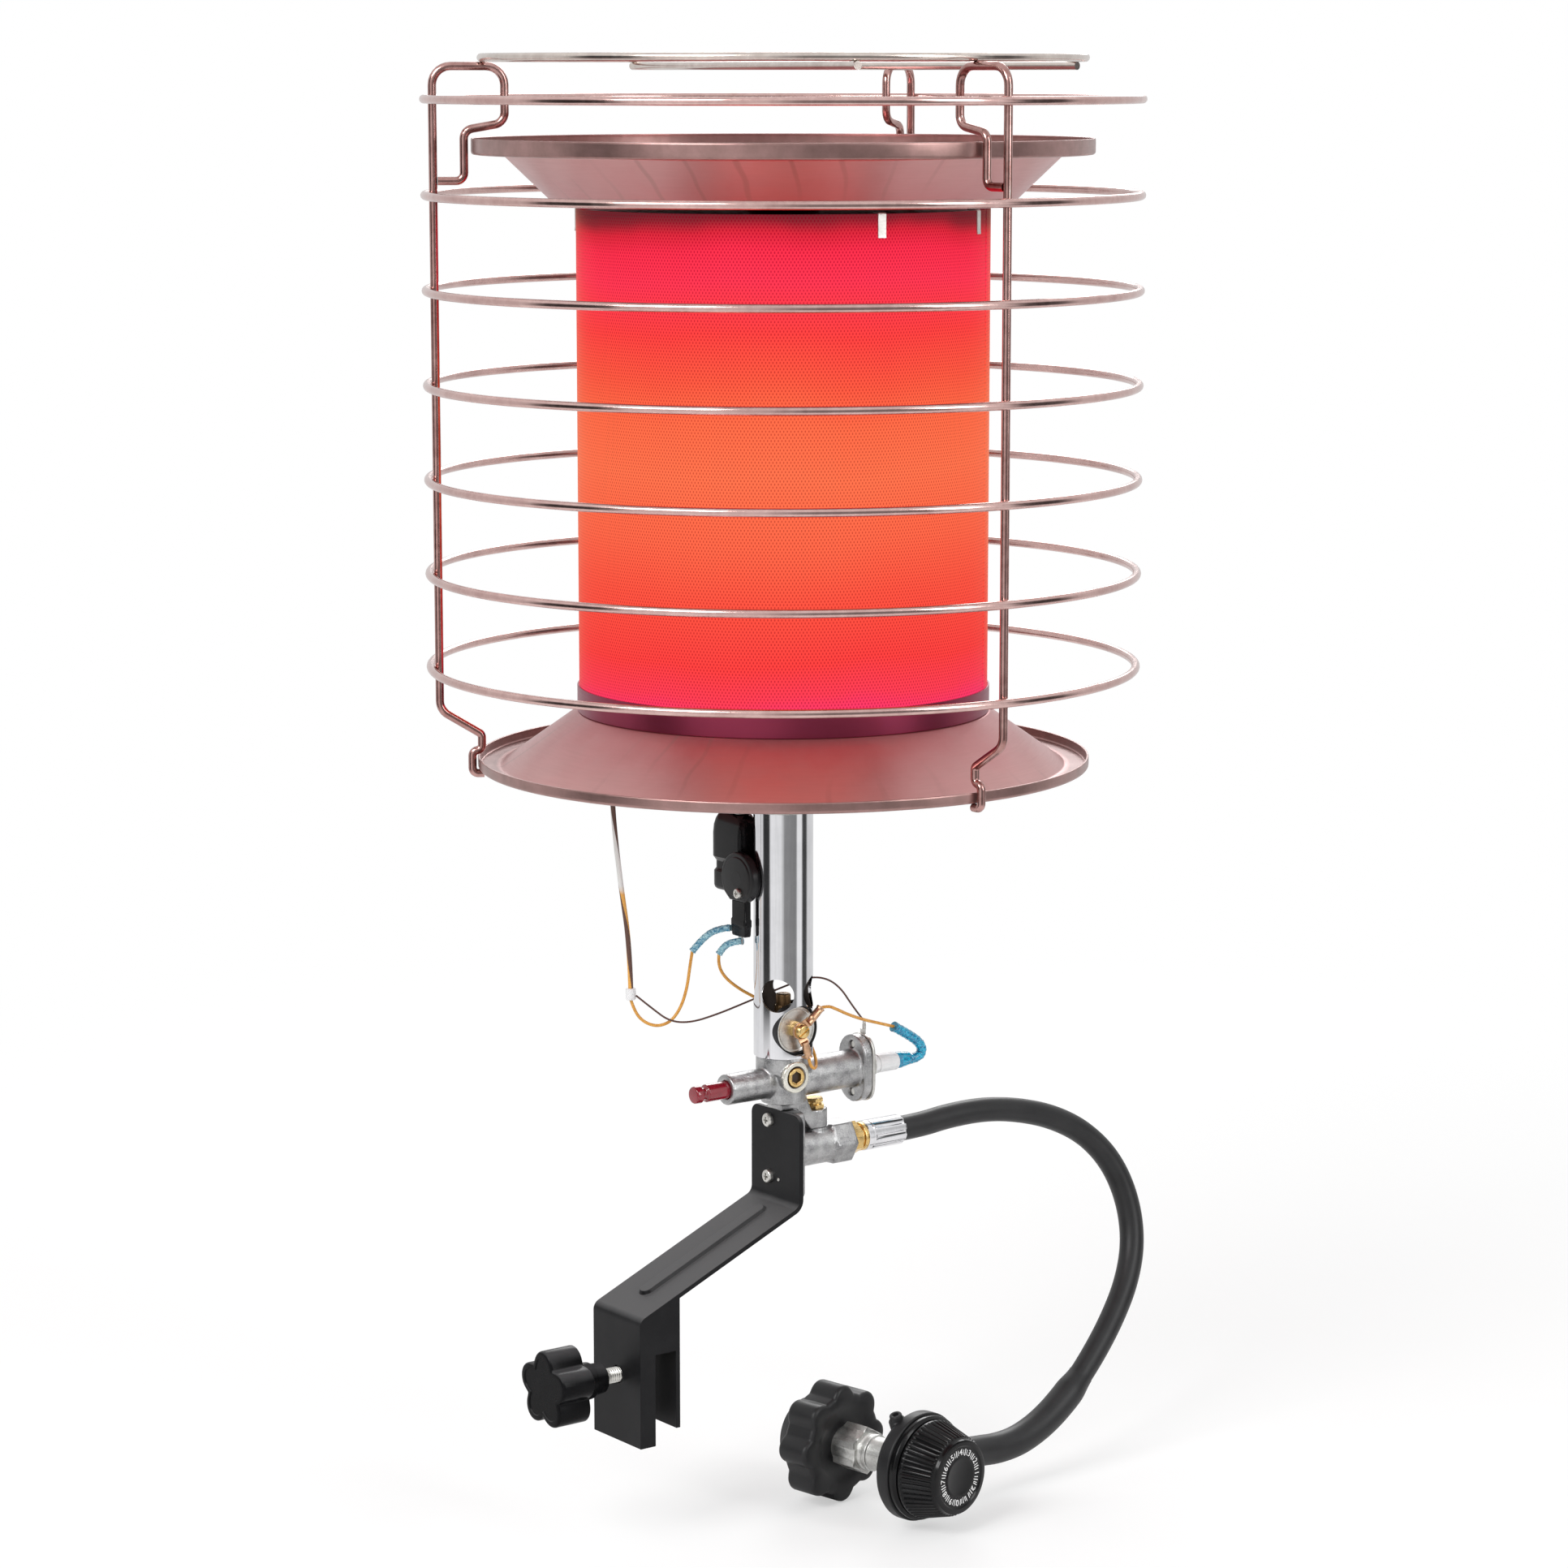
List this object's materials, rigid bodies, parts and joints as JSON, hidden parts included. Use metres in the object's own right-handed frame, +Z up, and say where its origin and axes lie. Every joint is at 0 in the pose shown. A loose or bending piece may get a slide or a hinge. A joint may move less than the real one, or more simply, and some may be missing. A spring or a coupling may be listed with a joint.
{
  "type": "portable propane heater",
  "caption": "Tank-top propane heater with an all-round radiant head in a wire guard, gas valve with push button, collar clamp, hose and regulator.",
  "frame": {"origin": "middle of the clamp's slot, where the tank collar's rim stops against it", "axes": "+Z up along the burner post, -Y the side of the push button and the thumbscrew, +Y the gas inlet"},
  "size_m": [0.3556, 0.4019, 0.7384],
  "materials": {
    "chrome_wire": "polished",
    "reflector_steel": "bright",
    "emitter_mesh": "perforated, glowing in use",
    "heat_tinted_steel": "satin",
    "zinc_plate": "zinc plated",
    "chrome_tube": "polished",
    "brass": "turned",
    "copper": "satin",
    "black_rubber": "satin",
    "black_plastic": "satin",
    "black_gloss": "gloss",
    "cast_aluminium": "cast",
    "red_plastic": "gloss",
    "spring_steel": "bright",
    "white_plastic": "satin",
    "black_paint": "satin powder coat",
    "orange_insulation": "satin",
    "brown_insulation": "satin",
    "blue_sleeving": "clear"
  },
  "bodies": {
    "heater": {"guard_rings_low": "chrome_wire", "guard_rings_high": "chrome_wire", "guard_uprights": "chrome_wire", "top_grate": "chrome_wire", "top_reflector": "reflector_steel", "tie_rod": "zinc_plate", "emitter_screen": "emitter_mesh", "emitter_cap": "heat_tinted_steel", "emitter_base": "heat_tinted_steel", "screen_clips": "zinc_plate", "burner_drum": "emitter_mesh", "burner_head": "brass", "lower_dish": "reflector_steel", "post_collar": "zinc_plate", "thermocouple": "zinc_plate", "burner_tube": "chrome_tube", "gas_orifice": "brass", "terminal_disc": "zinc_plate", "terminal_grommet": "black_rubber", "terminal_lugs": "copper", "terminal_screw": "brass", "switch_housing": "black_plastic", "switch_cover": "black_plastic", "switch_terminals": "zinc_plate", "switch_clip": "zinc_plate", "valve_body": "cast_aluminium", "valve_spring": "spring_steel", "magnet_unit": "zinc_plate", "magnet_plate": "zinc_plate", "pan_screws": "zinc_plate", "lead_connector": "white_plastic", "test_plug": "brass", "inlet_block": "cast_aluminium", "bleed_screw": "brass", "inlet_adapter": "brass", "hose_ferrule": "chrome_tube", "bracket": "black_paint", "clamp_nut": "zinc_plate", "gas_hose": "black_rubber", "hose_sleeve": "black_rubber", "regulator_body": "black_paint", "regulator_bonnet": "black_plastic", "regulator_diaphragm": "black_rubber", "regulator_spring": "spring_steel", "inlet_nipple": "zinc_plate", "thermocouple_lead": "brown_insulation", "switch_lead": "orange_insulation", "return_lead": "orange_insulation", "magnet_lead": "orange_insulation", "ground_lead": "brown_insulation", "lead_tie": "white_plastic", "terminal_sleeves": "blue_sleeving"},
    "button": {"valve_button": "red_plastic", "valve_spindle": "brass"},
    "regulator_dial": {"regulator_knob": "black_gloss"},
    "tank_nut": {"qcc_nut": "black_plastic"},
    "pad": {"clamp_pad": "zinc_plate"},
    "thumbscrew": {"clamp_screw": "zinc_plate", "star_knob": "black_gloss"},
    "tilt_ball": {"switch_ball": "zinc_plate"}
  },
  "joints": [
    {"name": "button_push", "type": "slide", "parent": "heater", "child": "button", "axis": [0, 1, 0], "range_m": [0, 0.008], "stiffness_N_per_m": 400, "springref_m": -0.003, "deforming": ["valve_spring"]},
    {"name": "regulator_dial_turn", "type": "hinge", "parent": "heater", "child": "regulator_dial", "pos_m": [0.0065, 0.1121, -0.07], "axis": [0.9848, 0.1736, 0], "range_deg": [-150, 150]},
    {"name": "tank_nut_spin", "type": "hinge", "parent": "heater", "child": "tank_nut", "pos_m": [0.0065, 0.1121, -0.07], "axis": [0.9848, 0.1736, 0], "continuous": true},
    {"name": "pad_slide", "type": "slide", "parent": "heater", "child": "pad", "axis": [0, 1, 0], "range_m": [-0.0048, 0.0055]},
    {"name": "thumbscrew_turn", "type": "hinge", "parent": "pad", "child": "thumbscrew", "pos_m": [0, 0, -0.013], "axis": [0, 1, 0], "range_deg": [-1380, 1580]},
    {"name": "tilt_ball_rise", "type": "slide", "parent": "heater", "child": "tilt_ball", "axis": [0, 0, 1], "range_m": [0, 0.0095]}
  ],
  "couplings": [
    {"joint": "pad_slide", "follows": "thumbscrew_turn", "m_per_rad": 0.00019894}
  ]
}
